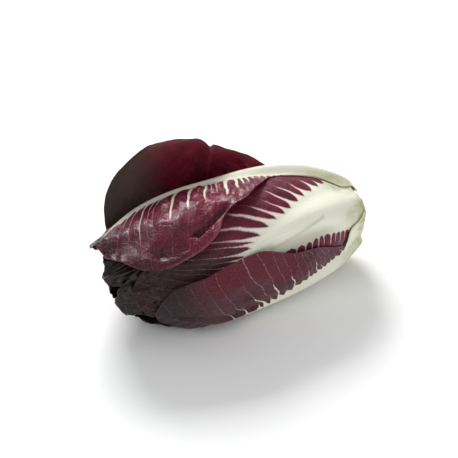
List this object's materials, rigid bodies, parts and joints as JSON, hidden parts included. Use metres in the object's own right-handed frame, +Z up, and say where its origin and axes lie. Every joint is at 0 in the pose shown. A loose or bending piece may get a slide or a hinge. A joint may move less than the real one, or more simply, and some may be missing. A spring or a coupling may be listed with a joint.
{
  "type": "radicchio head",
  "caption": "Elongated head of red radicchio lying on its side: broad burgundy leaves with white ribs wrapped round a tight heart, one leaf opened out behind.",
  "frame": {"origin": "on the surface the head lies on, under the middle of its bounding box", "axes": "+X along the head to its cut stem, leaf tips at -X, +Z up, -Y towards the side with the broad white rib"},
  "size_m": [0.2014, 0.1026, 0.1113],
  "materials": {
    "burgundy_leaf": "glossy waxy leaf, deep burgundy, with low side veins running from the rib",
    "mauve_leaf": "leaf with a dull waxy bloom, mauve brown with thin pink veins",
    "dark_leaf": "satin leaf, very dark red going green black towards the tip",
    "white_rib": "smooth moist white flesh, faintly yellow green near the root"
  },
  "bodies": {
    "root": {"top_leaf_blade": "burgundy_leaf", "top_leaf_rib": "white_rib", "middle_leaf_blade": "burgundy_leaf", "middle_leaf_rib": "white_rib", "front_leaf_blade": "mauve_leaf", "front_leaf_rib": "white_rib", "back_leaf_blade": "dark_leaf", "back_leaf_rib": "white_rib", "under_leaf_blade": "dark_leaf", "under_leaf_rib": "white_rib", "inner_leaf_1_blade": "dark_leaf", "inner_leaf_1_rib": "white_rib", "inner_leaf_2_blade": "dark_leaf", "inner_leaf_2_rib": "white_rib", "inner_leaf_3_blade": "dark_leaf", "inner_leaf_3_rib": "white_rib", "inner_leaf_4_blade": "dark_leaf", "inner_leaf_4_rib": "white_rib", "inner_leaf_5_blade": "dark_leaf", "inner_leaf_5_rib": "white_rib", "heart": "dark_leaf", "stem": "white_rib"}
  },
  "joints": []
}
